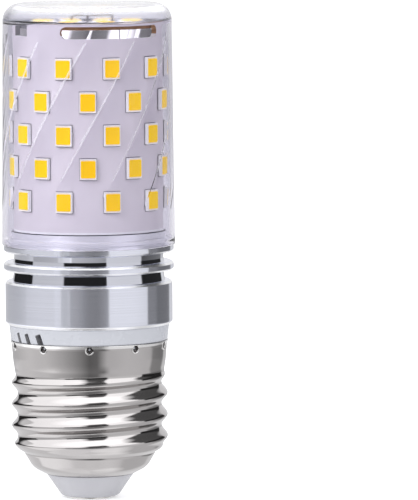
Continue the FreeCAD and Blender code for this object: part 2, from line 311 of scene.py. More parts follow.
cover = {
    "wall": 0.8,
    "topRadius": 14.2,
    "corner": 2.8,           # rounding of the top's outer edge
    "cornerSteps": 10,
    "footRounding": 0.25,
    "flutes": 10,
    "fluteDepth": 0.13,
    "fluteFrom": 48.0,       # heights between which the flutes show
    "fluteTo": 79.5,
    "fluteFade": 5.0,
    "highlightFrom": 0.4,       # the share of that fade past which the steep sides take the painted highlight
    "twist": 2.35,           # degrees that a flute turns in a millimetre
    "columns": 48,           # mesh columns to a flute
    "step": 2,               # how many of them make a flute's steep side
    "rows": 72,
    "startAngle": 20.0,
    "plainFoot": 1.0,        # the lowest stretch of the inner wall, which isn't carved
    "nearWall": 0.1,         # how far off the inner wall a corner of it may lie
    "insideShare": 0.6,      # of the wall, in from the top's radius: what lies within is the inner wall
    "refraction": 1.25,      # thin moulded walls bend the view little
    "tint": ((0.71, 0.695, 0.765), (0.82, 0.805, 0.865)),   # darkest and lightest across a flute: painted shade bands, for the light and shade that the tilted flute sides give
    "roughness": (0.01, 0.03),
    # painted highlight: a near-white, half-clear finish on the flutes' steep sides draws bright lines
    "crease": (0.97, 0.97, 1.0),
    "highlightRoughness": (0.2, 0.3),
    "highlightClear": 0.6,
    "topFrom": 80.6,         # above this the cup is hazy and bends the view less
    "topRefraction": 1.16,
    "topTint": ((0.84, 0.835, 0.895), (0.97, 0.97, 0.985)),  # below and above the lift, which paints the top lighter
    "topPaintedLift": (81.7, 82.9),     # heights between which the one turns into the other
    "topRoughness": (0.14, 0.20),
    "roughnessScale": 60,
    "lamplight": (0.96, 0.96, 0.98),     # what the wall lets through of a lamp's light
}


def fluteLift(column, height):
    # how far the inner wall is carved outwards, for a mesh column and a height
    gentle = cover["columns"] - cover["step"]
    place = column % cover["columns"]
    ramp = place / gentle if place <= gentle else (cover["columns"] - place) / cover["step"]
    low = (height - cover["fluteFrom"]) / cover["fluteFade"]
    high = (cover["fluteTo"] - height) / cover["fluteFade"]
    return cover["fluteDepth"] * ramp * easeInOut(min(low, high))


def fluteTurn(height):
    return math.radians(cover["twist"] * (height - cover["fluteFrom"]) + cover["startAngle"])


def fluteShare(tree):
    # 0 to 1 across a flute, from the angle round the axis and the height
    x, y, z = placeOf(tree)
    angle = mathNode(tree, "ARCTAN2", y, x)
    turn = mathNode(tree, "MULTIPLY_ADD", z, -math.radians(cover["twist"]) / mm, -fluteTurn(0.0))
    flutes = mathNode(tree, "MULTIPLY", mathNode(tree, "ADD", angle, turn), cover["flutes"] / math.tau)
    share = mathNode(tree, "SUBTRACT", mathNode(tree, "FRACT", flutes), 0.5)
    # above and below the flutes it settles to a half
    foot, top, fade = (cover[name] * mm for name in ("fluteFrom", "fluteTo", "fluteFade"))
    for start, end in ((foot, foot + fade * 2), (top, top - fade)):
        faded = remapped(tree, z, start, end, interpolation_type="SMOOTHSTEP")
        share = mathNode(tree, "MULTIPLY", faded, share)
    return mathNode(tree, "ADD", share, 0.5)


def clearMaterial(name, colour, roughness, transmission, refraction):
    material = newMaterial(name, colour, roughness[0], sockets={
        "IOR": refraction, "Transmission Weight": transmission})
    tree = material.node_tree
    setShader(tree, "Roughness", ranged(tree, patternOf(tree, cover["roughnessScale"]), *roughness))
    path = addNode(tree, "ShaderNodeLightPath")
    through = addNode(tree, "ShaderNodeBsdfTransparent", {"Color": cover["lamplight"]})
    choice = addNode(tree, "ShaderNodeMixShader", {     # lamps light what is inside
        0: path.outputs["Is Shadow Ray"], 1: tree.nodes["Principled BSDF"].outputs["BSDF"],
        2: through.outputs["BSDF"]})
    feed(tree, tree.nodes["Material Output"].inputs["Surface"], choice.outputs["Shader"])
    return material


def carveFlutes(bm, low, high, stepAngle):
    foot, top, wall = high.x, cover["topRadius"], cover["wall"]
    lowest, highest = low.z + cover["plainFoot"], high.z - cover["corner"]
    for v in bm.verts:
        radius = math.hypot(v.co.x, v.co.y)
        level = (v.co.z - low.z) / (high.z - low.z)
        innerRadius = foot - wall + (top - foot) * level
        if abs(radius - innerRadius) < cover["nearWall"] and lowest < v.co.z < highest:
            angle = math.atan2(v.co.y, v.co.x)
            radius += fluteLift(round(angle / stepAngle), v.co.z)
            angle += fluteTurn(v.co.z)
            v.co.x, v.co.y = radius * math.cos(angle), radius * math.sin(angle)


def coverFaces(bm, stepAngle):
    # the flutes' steep sides take material 1, a painted highlight, and what lies above them material 2
    fade = cover["fluteFade"] * cover["highlightFrom"]
    inside = cover["topRadius"] - cover["wall"] * cover["insideShare"]
    for face in bm.faces:
        centre = face.calc_center_median()
        if centre.z > cover["topFrom"]:
            face.material_index = 2
        elif cover["fluteFrom"] + fade < centre.z < cover["fluteTo"] - fade:
            column = (math.atan2(centre.y, centre.x) - fluteTurn(centre.z)) / stepAngle % cover["columns"]
            if math.hypot(centre.x, centre.y) < inside and column > cover["columns"] - cover["step"]:
                face.material_index = 1


def buildCover():
    low, high = boxOf("clear_cover")
    foot, top, wall = high.x, cover["topRadius"], cover["wall"]
    inner = cover["corner"] - wall
    columns = cover["flutes"] * cover["columns"]
    bm = turnedShape([
        (0, high.z, 0), (top, high.z, cover["corner"]), (foot, low.z, cover["footRounding"]),
        (foot - wall, low.z, cover["footRounding"]), (top - wall, high.z - wall, inner),
        (0, high.z - wall, 0),
    ], steps=columns, closed=False, arcSteps=cover["cornerSteps"], cuts={3: cover["rows"]})
    carveFlutes(bm, low, high, math.tau / columns)
    coverFaces(bm, math.tau / columns)
    clear = clearMaterial("clearPlastic", cover["tint"][1], cover["roughness"], 1.0, cover["refraction"])
    # painted shade: the cup's tint runs from darker to lighter across each flute
    colourBetween(clear.node_tree, fluteShare(clear.node_tree), *cover["tint"])
    crease = clearMaterial("clearCreasePaintedHighlight", cover["crease"], cover["highlightRoughness"], cover["highlightClear"],
                           cover["refraction"])
    upper = clearMaterial("clearTop", cover["topTint"][1], cover["topRoughness"], 1.0,
                          cover["topRefraction"])
    tree = upper.node_tree
    # painted light: the cup's tint turns lighter towards the top, for the bright look of the top flat
    lifted = remapped(tree, placeOf(tree)[2], *(height * mm for height in cover["topPaintedLift"]))
    colourBetween(tree, lifted, *cover["topTint"])
    addPiece("clearCup", bm, [clear, crease, upper], ["clear_cover"], sharpAngle=60)


buildCover()
print("clear cup made")


# rolled LED board and the round board in its top

board = {
    "thickness": 0.8,
    "rim": 0.05,
    "slotFrom": -20.9,        # degrees from the front
    "slotTo": 64.5,
    "slotHeight": 2.05,
    "slotBridge": 0.4,
    "slotEnds": 0.499,        # of the slot's height, so that its ends are round
    "notchFrom": -70.0,
    "notchTo": -52.0,
    "notchDepth": 2.2,
    "notchRounding": 0.12,
    "seamAngle": 152.0,
    "seamWidth": 0.3,
    "cutterDepth": 3.0,
    "highlightFoot": 0.36,         # the strip along the board's foot, painted near white as a highlight line
    "highlightSlot": 1.0,          # how far below the board's top the slot's painted highlight edges end
    "brownFrom": -35.0,       # degrees between which cut edges show brown laminate
    "brownTo": 80.0,
    "mask": ((0.825, 0.78, 0.81), (0.865, 0.825, 0.85)),
    "cutEdge": ((0.30, 0.15, 0.06), (0.46, 0.26, 0.12)),
    "highlightEdge": ((0.96, 0.96, 0.96), (1.0, 1.0, 1.0)),
    "rolledMetal": ((0.7, 0.7, 0.72), (0.8, 0.8, 0.82)),
    "viewedAt": 76.5,         # the height at the back that the slot shows
    "streakSlant": -0.3,
    "streakReach": 15,
    "paintedStreaks": (              # place from left to right, lightness of the painted reflections
        (-12.0, 0.25), (-7.0, 0.35), (-6.0, 0.95), (-3.8, 0.95), (-2.9, 0.2), (-0.1, 0.1), (0.05, 0.95),
        (0.3, 0.95), (0.45, 0.1), (3.0, 0.16), (3.8, 0.95), (6.4, 0.95), (6.6, 0.5), (6.8, 0.95),
        (7.7, 0.4), (7.9, 0.95), (8.4, 0.95), (8.6, 0.12), (11.6, 0.08)),
    "streakBlue": 1.03,
}


def wallCutter(fromAngle, toAngle, radius, height, middle, rounding, roundSteps):
    # a block bent round the tube, to cut its wall between two angles
    start, end = math.radians(fromAngle), math.radians(toAngle)
    bm = blockShape(((end - start) * radius, board["cutterDepth"], height),
                    ((start + end) / 2 * radius, 0, middle), rounding, roundSteps, along=1)
    rollUp(bm, radius)
    return bm


def slotCutter(radius, top):
    height = board["slotHeight"]
    middle = top - board["slotBridge"] - height / 2
    return wallCutter(board["slotFrom"], board["slotTo"], radius, height, middle,
                      height * board["slotEnds"], 10)


def notchCutter(radius, top):
    return wallCutter(board["notchFrom"], board["notchTo"], radius, board["notchDepth"] * 2, top,
                      board["notchRounding"], 3)


def seamCutter(radius, low, high):
    length = high - low + 2
    bm = blockShape((board["seamWidth"], board["cutterDepth"], length), (0, -radius, (low + high) / 2))
    turnAbout(bm, math.radians(board["seamAngle"]))
    return bm


def insideMaterial():
    # bare rolled metal: painted reflections, light and dark streaks that slant a little, seen through the
    # slot, take its plain colour's place
    material = plainFinish("boardInsidePaintedReflections", *board["rolledMetal"], roughness=(0.4, 0.5))
    tree = material.node_tree
    x, _, z = placeOf(tree)
    reach, level = board["streakReach"] * mm, board["viewedAt"] * mm * board["streakSlant"]
    slanted = mathNode(tree, "MULTIPLY_ADD", z, board["streakSlant"], x)
    stops = [((place * mm + reach) / (2 * reach), coolGrey(value, board["streakBlue"]))
             for place, value in board["paintedStreaks"]]
    setShader(tree, "Base Color", rampOf(tree, remapped(tree, slanted, level - reach, level + reach), stops))
    return material


def isBrown(point):
    return board["brownFrom"] < math.degrees(math.atan2(point.x, -point.y)) < board["brownTo"]


def edgeFaces(bm, inner, outer, low, high):
    # the inner wall and the cut edges that aren't brown take material 1, the brown ones 2, and the foot
    # strip and the slot's edges that face up 3, a near-white painted highlight
    for face in bm.faces:
        centre = face.calc_center_median()
        radial = Vector((centre.x, centre.y, 0))
        if centre.z < low + board["highlightFoot"]:
            face.material_index = 3
        elif abs(face.normal.dot(radial.normalized())) < edgeOn:
            upward = face.normal.z > 0.5 and centre.z < high - board["highlightSlot"]
            face.material_index = 3 if upward else 2 if isBrown(centre) else 1
        elif radial.length < (inner + outer) / 2:
            face.material_index = 1


def buildBoard():
    low, high = boxOf("side_board")
    outer, inner, rim = high.x, high.x - board["thickness"], board["rim"]
    bm = turnedShape([(inner, low.z, rim), (outer - rim, low.z, 0), (outer, low.z + board["highlightFoot"], 0),
                      (outer, high.z, rim), (inner, high.z, rim)], steps=360, arcSteps=2)
    cutter = joinShapes([slotCutter(outer, high.z), notchCutter(outer, high.z),
                         seamCutter(outer, low.z, high.z)])
    bm = cutAway(bm, cutter)
    edgeFaces(bm, inner, outer, low.z, high.z)
    mask = plainFinish("boardMask", *board["mask"], roughness=(0.34, 0.46), scale=700)
    cutEdge = plainFinish("boardCutEdge", *board["cutEdge"], roughness=(0.5, 0.7), scale=2500, bump=0.00003)
    # painted highlight: near white, for the foot strip and the slot's upward edges
    highlightEdge = plainFinish("boardPaintedHighlight", *board["highlightEdge"], roughness=(0.3, 0.4), scale=1500)
    inside = insideMaterial()
    addPiece("rolledBoard", bm, [mask, inside, cutEdge, highlightEdge], ["side_board"],
             sharpAngle=25)

    low, high = boxOf("top_board")
    bm = turnedShape([(0, low.z, 0), (high.x, low.z, 0.04), (high.x, high.z, 0.04), (0, high.z, 0)],
                     closed=False, arcSteps=2)
    for face in bm.faces:
        if abs(face.normal.z) < edgeOn:
            face.material_index = 1 if isBrown(face.calc_center_median()) else 2
    addPiece("roundBoard", bm, [mask, cutEdge, inside], ["top_board"], sharpAngle=40)


# the two bent leads on the round board, and the joint between them

leads = {
    "radius": 0.2,
    "left": ((-0.5, 81.9), (-1.9, 81.95), (-2.5, 81.6), (-2.65, 80.9), (-2.65, 80.1)),   # across, height
    "right": ((0.6, 81.9), (3.9, 82.0), (4.2, 81.75), (4.25, 80.1)),
    "back": 1.9,              # behind the bulb's axis
    "jointAside": 0.1,
    "post": 0.18,
    "postTop": 81.75,
    "pad": 0.8,
    "padFoot": 81.8,
    "padTop": 82.0,
    "colour": ((0.20, 0.20, 0.215), (0.34, 0.34, 0.36)),
}


def tubeShape(points, radius, sides=10, mitreLimit=0.5):
    # a round wire through the points, mitred at each bend
    bm = bmesh.new()
    rings, back = [], Vector((0, 1, 0))
    for i, point in enumerate(points):
        before, after = points[max(i - 1, 0)], points[min(i + 1, len(points) - 1)]
        first = (point - before).normalized() if i else (after - point).normalized()
        second = (after - point).normalized() if i < len(points) - 1 else first
        along = (first + second).normalized()
        side = along.cross(back).normalized() / max(mitreLimit, along.dot(first))
        turns = [math.tau * k / sides for k in range(sides)]
        rings.append([bm.verts.new(point + (side * math.cos(a) + back * math.sin(a)) * radius)
                      for a in turns])
    for low, high in zip(rings, rings[1:]):
        for k in range(sides):
            bm.faces.new((low[k], low[k - 1], high[k - 1], high[k]))
    for end in (rings[0], rings[-1]):
        bm.faces.new(end)
    bmesh.ops.recalc_face_normals(bm, faces=bm.faces[:])
    return bm


def buildLeads():
    foot = boxOf("top_board")[1].z
    shapes = []
    for side in ("left", "right"):
        points = [Vector((x, leads["back"], max(z, foot))) for x, z in leads[side]]
        shapes.append(tubeShape(points, leads["radius"]))
    post, pad, top = leads["post"], leads["pad"], leads["padTop"]
    joint = turnedShape([(0, foot, 0), (post, foot, 0), (post, leads["postTop"], 0),
                         (pad, leads["padFoot"], 0.05), (pad, top, 0.05), (0, top + 0.05, 0)],
                        steps=32, closed=False, arcSteps=2)
    moveBy(joint, leads["jointAside"], leads["back"], 0)
    shapes.append(joint)
    metal = plainFinish("leadTin", *leads["colour"], roughness=(0.3, 0.45), scale=1500, metallic=0.4)
    addPiece("topLeads", joinShapes(shapes), [metal], [], sharpAngle=50)


buildBoard()
buildLeads()
print("boards made")


# LED packages

led = {
    "rows": 5,
    "perRow": 10,
    "width": 2.8,
    "length": 3.5,
    "height": 0.62,
    "rounding": 0.07,
    "windowWidth": 2.45,
    "windowLength": 2.85,
    "cupDepth": 0.12,
    "cupSlope": 0.08,
    "gelDepth": 0.9,          # of the cup's depth
    "windowCorner": 0.22,
    "windowProud": 0.05,
    "crownInset": 0.06,       # the gel swells by this much more inside its edge
    "crownRise": 0.03,
    "padAside": 0.06,         # how far the solder pads, dark as painted contact shade, show past a package
    "padAhead": 0.12,
    "padHeight": 0.06,
    "padRounding": 0.02,
    "filletShare": 0.78,      # of a package's width
    "filletLength": 0.24,
    "filletHeight": 0.2,
    "filletRounding": 0.06,
    "topCount": 8,
    "topCircle": 8.0,
    "topInner": 2.25,
    # painted light: the phosphor glows of its own, so that it reads brighter
    "paintedGlow": 0.35,
    "bodyPaintedGlow": 0.14,
    "body": ((0.90, 0.90, 0.89), (0.96, 0.96, 0.95)),
    "left": (0.92, 0.72, 0.012),    # the phosphor seen at the left, in the middle and at the right: a painted shift from lemon to orange, for how the light falls across the bulb
    "middle": (1.0, 0.60, 0.004),
    "right": (1.0, 0.70, 0.04),
    "tonesAt": (0.08, 0.5, 0.95),   # their places, as shares of the way across the bulb
    "grain": (1.0, 0.93, 0.8),
    "grainScale": 3500,
    "grainShare": 0.5,
    "skinScale": 6000,
    "skinDepth": 0.00002,
    # painted shade: real pads and fillets, coloured dark grey for the contact shade round each package
    "solder": ((0.22, 0.21, 0.23), (0.34, 0.33, 0.35)),
    "sharpAngle": 18,
}


def ledBodyShape():
    # a package lying with its window towards +Z, on z 0
    width, height, rounding = led["width"], led["height"], led["rounding"]
    bm = blockShape((width, led["length"], height), (0, 0, height / 2), rounding, 2)
    window = max(bm.faces, key=lambda f: f.calc_center_median().z)
    frameWidth = (width - led["windowWidth"]) / 2 - rounding
    for thickness, depth in ((frameWidth, 0.0), (led["cupSlope"], -led["cupDepth"])):
        bmesh.ops.inset_region(bm, faces=[window], thickness=thickness, depth=depth, use_even_offset=True)
    return bm


def ledWindowShape():
    # the gel that fills the cup, a little proud of its rim
    low = led["height"] - led["cupDepth"] * led["gelDepth"]
    high = led["height"] + led["windowProud"]
    bm = blockShape((led["windowWidth"], led["windowLength"], high - low), (0, 0, (low + high) / 2),
                    led["windowCorner"], 4, along=2)
    top = [f for f in bm.faces if f.normal.z > 0.9]
    bmesh.ops.inset_region(bm, faces=top, thickness=led["crownInset"], depth=led["crownRise"],
                           use_even_offset=True)
    return bm


def solderShape():
    # the pad under a package, and the two solder fillets at its short ends, dark grey as painted contact
    # shade
    height, filletHeight = led["padHeight"], led["filletHeight"]
    fillet = (led["width"] * led["filletShare"], led["filletLength"], filletHeight)
    shapes = [blockShape((led["width"] + 2 * led["padAside"], led["length"] + 2 * led["padAhead"], height),
                         (0, 0, height / 2), led["padRounding"], 1)]
    for side in (-1, 1):
        centre = (0, side * led["length"] / 2, filletHeight / 2)
        shapes.append(blockShape(fillet, centre, led["filletRounding"], 2))
    return joinShapes(shapes)


def stand(bm, radius, angle, height):
    # turns a lying package out from the axis, and sets it at its place round the board
    turnAbout(bm, math.radians(90), "X")
    moveBy(bm, 0, -radius, height)
    turnAbout(bm, angle)
    return bm


def phosphorMaterial():
    # painted light: the phosphor glows of its own
    material = newMaterial("ledPhosphor", led["middle"], 0.4, sockets={
        "Specular IOR Level": 0.1, "Emission Color": led["middle"], "Emission Strength": led["paintedGlow"]})
    tree = material.node_tree
    reach = boxOf("led_row_2")[1].x * mm
    across = remapped(tree, placeOf(tree)[0], -reach, reach)
    # painted light: the phosphor's colour changes with the side of the bulb
    tones = rampOf(tree, across, zip(led["tonesAt"], (led["left"], led["middle"], led["right"])))
    grain = ranged(tree, patternOf(tree, led["grainScale"]), 0, led["grainShare"])
    setShader(tree, "Base Color", mixColours(tree, grain, tones, led["grain"], blend_type="MULTIPLY"))
    addBump(tree, patternOf(tree, led["skinScale"]), led["skinDepth"], strength=0.5)
    return material


def buildRow(row, finishes, radius):
    low, high = boxOf("led_row_%d" % row)
    phase = 0.5 if row % 2 else 0.0
    angles = [math.tau * (i + phase) / led["perRow"] for i in range(led["perRow"])]
    for name, shape, material, slot, nodes in (
            ("ledBodiesRow%d", ledBodyShape, finishes[0], "led_body", ["led_row_%d" % row]),
            ("ledWindowsRow%d", ledWindowShape, finishes[1], "led_phosphor", ["led_windows_%d" % row]),
            ("ledSolderRow%d", solderShape, finishes[2], "solder", [])):
        bm = joinShapes([stand(shape(), radius, angle, (low.z + high.z) / 2) for angle in angles])
        addPiece(name % row, bm, [material], nodes, led["sharpAngle"])


def layOnTop(shape, top):
    # a circle of packages on the round board, and two inside it
    shapes = []
    for i in range(led["topCount"]):
        bm = shape()
        moveBy(bm, 0, -led["topCircle"], top)
        turnAbout(bm, math.tau * (i + 0.5) / led["topCount"])
        shapes.append(bm)
    for side in (-1, 1):
        bm = shape()
        moveBy(bm, side * led["topInner"], 0, top)
        shapes.append(bm)
    return joinShapes(shapes)


def buildLeds():
    # painted light: the white packages glow a little of their own
    body = plainFinish("ledBody", *led["body"], roughness=(0.3, 0.4), scale=1500, sockets={
        "Emission Color": led["body"][1], "Emission Strength": led["bodyPaintedGlow"]})
    phosphor = phosphorMaterial()
    solder = plainFinish("ledSolderPaintedShade", *led["solder"], roughness=(0.3, 0.45), metallic=0.5)
    radius = boxOf("side_board")[1].x
    for row in range(1, led["rows"] + 1):
        buildRow(row, (body, phosphor, solder), radius)
    top = boxOf("top_board")[1].z
    for name, shape, material, slot, node in (
            ("topLedBodies", ledBodyShape, body, "led_body", "top_leds"),
            ("topLedWindows", ledWindowShape, phosphor, "led_phosphor", "top_led_windows")):
        addPiece(name, layOnTop(shape, top), [material], [node], led["sharpAngle"])


buildLeds()
print("LED packages made")


# turned aluminium ring

ring = {
    "bandHeight": 7.4,
    "bandRadius": 14.1,
    "bandChamfer": 0.55,
    "lowerGroove": 1.8,
    "middleFin": 1.4,
    "upperGroove": 1.7,
    "upperFin": 1.15,
    "grooveFloor": 12.6,
    "grooveLean": 0.26,       # how much wider a groove's floor is at its foot
    "leanShare": 0.38,        # how much of the upper groove's floor leans
    "stepRadius": 13.55,      # the step that the cover's foot is glued round
    "stepFrom": 0.5,          # above the upper fin
    "stepTo": 1.35,
    "stepEdge": 0.18,
    "seatRadius": 13.3,
    "spigotRadius": 13.0,
    "boreRadius": 11.6,
    "edge": 0.34,             # the fins' chamfered edges
    "fine": 0.06,             # the least rounding that the tool leaves
    "grooveReach": 0.05,      # how far past its floor a groove's own finish goes
    "chamferTilt": (0.5, 0.9),    # the upward part of a chamfer's normal
    "rimLine": 0.2,           # the painted shadow line under the board, in from the spigot's upper edge
    "colour": ((0.78, 0.795, 0.88), (0.84, 0.855, 0.94)),
    "marks": (0.17, 1.0, 0.000005),     # roughness, spread of the highlight, depth of the turning marks
    # painted shade: the groove floors are darker than the outside, for the shade in the grooves; their lower
    # roughness is their own finish
    "grooveColour": ((0.64, 0.65, 0.71), (0.69, 0.70, 0.76)),
    "grooveMarks": (0.06, 0.3, 0.000001),
    "spigotColour": ((0.93, 0.94, 0.985), (0.98, 0.985, 1.0)),  # near white, a painted brightening for the glints seen through the cup's foot
    "spigotMarks": (0.24, 1.0, 0.000006),
    "spigotSheen": 0.5,       # its blasted face: part mirror, part plain white
    "cutColour": ((0.95, 0.955, 0.98), (0.98, 0.985, 1.0)),     # the fresh cut of the chamfers
    "darkColour": ((0.05, 0.05, 0.055), (0.09, 0.09, 0.10)),
    "lines": 5200,            # turning marks, in lines to a metre
    "lineStretch": (0.004, 0.004, 1.0),
}


def turnedMetal(name, colours, marks, metallic=1.0):
    # turning marks run round the piece, so a highlight spreads up and down and stays sharp across
    roughness, spread, depth = marks
    material = newMaterial(name, colours[0], roughness, metallic, {
        "Anisotropic": spread, "Anisotropic Rotation": 0.25})
    tree = material.node_tree
    tangent = addNode(tree, "ShaderNodeTangent", direction_type="RADIAL", axis="Z")
    setShader(tree, "Tangent", tangent.outputs["Tangent"])
    lines = patternOf(tree, ring["lines"], ring["lineStretch"], detail=3.0)
    colourBetween(tree, ranged(tree, lines, 0, 1), *colours)
    addBump(tree, lines, depth, strength=0.5)
    return material


def buildRing():
    low, high = boxOf("aluminium_ring")
    rim, band, floor = high.x, ring["bandRadius"], ring["grooveFloor"]
    edge, fine = ring["edge"], ring["fine"]
    flattest, steepest = ring["chamferTilt"]
    bandTop = low.z + ring["bandHeight"]
    finLow = bandTop + ring["lowerGroove"]
    finHigh = finLow + ring["middleFin"]
    topLow = finHigh + ring["upperGroove"]
    topHigh = topLow + ring["upperFin"]
    stepLow, stepHigh, stepEdge = topHigh + ring["stepFrom"], topHigh + ring["stepTo"], ring["stepEdge"]
    chamfer, lean, leanShare = ring["bandChamfer"], ring["grooveLean"], ring["leanShare"]
    bore, step = ring["boreRadius"], ring["stepRadius"]
    seat, spigot = ring["seatRadius"], ring["spigotRadius"]
    bm = turnedShape([
        (bore, low.z, 0.1), (band - chamfer, low.z, fine), (band, low.z + chamfer, 0.12),
        (band, bandTop, edge, 1), (floor + lean, bandTop, fine),
        (floor, finLow, fine), (rim, finLow, edge, 1), (rim, finHigh, edge, 1),
        (floor + lean * leanShare, finHigh, fine), (floor, finHigh + ring["upperGroove"] * leanShare, 0),
        (floor, topLow, fine), (rim, topLow, edge, 1), (rim, topHigh, 0.1), (seat, topHigh, 0.05),
        (seat, stepLow, 0.05), (step, stepLow, stepEdge, 1), (step, stepHigh, stepEdge, 1),
        (spigot, stepHigh, 0.08), (spigot, high.z, 0.16, 1), (bore, high.z, 0.1)], steps=288, arcSteps=6)
    for face in bm.faces:
        centre = face.calc_center_median()
        radius = math.hypot(centre.x, centre.y)
        if radius < floor + lean + ring["grooveReach"] and bandTop < centre.z < topLow:
            face.material_index = 1
        elif centre.z > topHigh:
            atRim = centre.z > high.z - ring["rimLine"] and radius > spigot - ring["rimLine"]
            face.material_index = 3 if atRim else 4
        elif flattest < abs(face.normal.z) < steepest and radius > band - chamfer:
            face.material_index = 2
    outside = turnedMetal("turnedAluminium", ring["colour"], ring["marks"])
    groove = turnedMetal("grooveAluminium", ring["grooveColour"], ring["grooveMarks"])
    blasted = turnedMetal("spigotAluminium", ring["spigotColour"], ring["spigotMarks"], ring["spigotSheen"])
    cut = plainFinish("cutAluminium", *ring["cutColour"], roughness=(0.15, 0.25), scale=1200, bump=0.000002,
                      metallic=1.0)
    dark = plainFinish("shadowedAluminium", *ring["darkColour"], roughness=(0.4, 0.5), scale=1200,
                       metallic=1.0)
    addPiece("turnedRing", bm, [outside, groove, cut, dark, blasted],
             ["aluminium_ring"], sharpAngle=30)


buildRing()
print("aluminium ring made")


# white driver housing

housing = {
    "neckTop": 13.5,
    "neckRim": 13.2,
    "spigot": 11.5,
    "collarSpigot": 12.7,
    "collarDrop": 3.4,        # how far the wide part reaches down into the shell
    "shellSpigot": 11.7,
    "bore": 10.45,
    "slotAngles": (-62.0, -51.0, -39.0),
    "slotWidths": (0.85, 1.0, 1.2),
    "slotHeight": 2.1,
    "slotRise": 0.75,         # the slots' middle, above the shell's rim
    "slotDepth": 1.7,
    "slotSlant": 18.0,
    "slotRounding": 0.2,
    "slotMargin": 0.2,        # from the bore and from the neck's face to what counts as inside a slot
    "cutterDepth": 2.0,
    "white": ((0.55, 0.565, 0.61), (0.58, 0.595, 0.64)),
    # painted shade: darker grey on the slots' inner faces, for the shade inside them
    "shade": ((0.33, 0.33, 0.35), (0.39, 0.39, 0.41)),
}


def neckSlot(angle, width, middle):
    cutterDepth = housing["cutterDepth"]
    bm = blockShape((width, cutterDepth, housing["slotHeight"]), (0, 0, 0), housing["slotRounding"], along=1)
    turnAbout(bm, math.radians(-housing["slotSlant"]), "Y")
    moveBy(bm, 0, -housing["neckRim"] + housing["slotDepth"] - cutterDepth / 2, middle)
    turnAbout(bm, math.radians(angle))
    return bm


def buildHousing():
    low, high = boxOf("driver_housing")
    rim = boxOf("screw_shell")[1].z
    ringFoot = boxOf("aluminium_ring")[0].z
    collar, margin = rim - housing["collarDrop"], housing["slotMargin"]
    bore, shellSpigot, collarSpigot = housing["bore"], housing["shellSpigot"], housing["collarSpigot"]
    bm = turnedShape([
        (bore, low.z, 0.2), (shellSpigot, low.z, 0.3), (shellSpigot, collar, 0.3),
        (collarSpigot, collar, 0.3), (collarSpigot, rim, 0.1),
        (housing["neckRim"], rim, 0.25), (housing["neckTop"], ringFoot, 0.1),
        (housing["spigot"], ringFoot, 0.1), (housing["spigot"], high.z, 0.3), (bore, high.z, 0.3)],
        steps=256, arcSteps=4)
    bm = cutAway(bm, joinShapes([neckSlot(angle, width, rim + housing["slotRise"])
                                 for angle, width in zip(housing["slotAngles"], housing["slotWidths"])]))
    # faces inside the slots take the painted shade
    for face in bm.faces:
        centre = face.calc_center_median()
        inNeck = rim < centre.z < ringFoot and centre.y < 0
        if inNeck and bore + margin < math.hypot(centre.x, centre.y) < housing["neckRim"] - margin:
            face.material_index = 1
    white = plainFinish("whitePlastic", *housing["white"], roughness=(0.22, 0.32), scale=800)
    shade = plainFinish("slotPaintedShade", *housing["shade"], roughness=(0.4, 0.5), scale=800)
    addPiece("driverCase", bm, [white, shade], ["driver_housing"], sharpAngle=30)


buildHousing()
print("housing made")


# screw shell

shell = {
    "wall": 0.3,
    "pitch": 3.629,
    "crest": 13.1,
    "depth": 1.02,
    "crestBias": 0.12,        # makes the crests a little higher than the roots are deep
    "threadFrom": 4.4,        # above the shell's foot
    "threadHeight": 13.2,
    "threadBlend": 1.2,       # how far past its ends the thread's lift is worked in
    "crestStart": 2.0,        # above the thread's foot, where the crest first points along +X
    "runIn": 1.4,
    "runOut": 2.0,
    "footRadius": 7.5,
    "footBand": 0.18,         # the height of the painted shade line at the foot
    "domeReach": 2.2,         # the dome's shoulder, out from the foot and above it
    "domeRise": 1.15,
    "domeInnerRise": 1.4,
    "waistRadius": 11.0,
    "waistHeight": 3.4,
    "shoulderHeight": 1.5,    # above the thread
    "flare": 0.28,
    "flareHeight": 0.6,
    "brightFrom": 0.05,       # above the flare's foot, where the painted highlight starts
    "stakes": 10,
    "stakeRadius": 0.62,
    "stakeDrop": 0.75,        # below the rim
    "stakeOut": 0.12,         # how far outside the collar the ball that presses a stake has its centre
    "stakeShape": (1, 0.7, 0.9),
    "dentReach": 0.03,        # how far off that ball a face of the dent may lie
    "lip": 0.13,
    "lipOut": 0.02,
    "lipTurn": 12,            # degrees: where the lip starts, and how far it goes round
    "lipSweep": 204,
    "colour": ((0.52, 0.50, 0.495), (0.57, 0.55, 0.54)),
    # painted highlight: a much lighter nickel on the flared rim and the stakes' lips
    "rimPaintedHighlight": ((0.86, 0.85, 0.84), (0.93, 0.92, 0.91)),
    "collarLean": 0.22,       # how much narrower the collar is at its foot
    # painted shade: near black in the stakes' dents and along the foot
    "dentShade": ((0.06, 0.055, 0.055), (0.12, 0.11, 0.11)),
    "creaseRadius": 11.0,     # the line rolled in between the thread and the dome
    "creaseHeight": 3.75,
}


def threadLift(angle, height, foot):
    # how far the rolled sheet stands off the thread's middle radius
    rise = easeInOut((height - foot) / shell["runIn"])
    fall = easeInOut((foot + shell["threadHeight"] - height) / shell["runOut"])
    turn = math.tau * (height - foot - shell["crestStart"]) / shell["pitch"]
    wave = math.cos(angle - turn)
    return shell["depth"] / 2 * min(rise, fall) * wave * (1 + shell["crestBias"] * wave)


def rollThread(bm, foot, top):
    for v in bm.verts:
        if foot - shell["threadBlend"] < v.co.z < top + shell["threadBlend"]:
            radius = math.hypot(v.co.x, v.co.y)
            angle = math.atan2(v.co.y, v.co.x)
            stretch = (radius + threadLift(angle, v.co.z, foot)) / radius
            v.co.x *= stretch
            v.co.y *= stretch


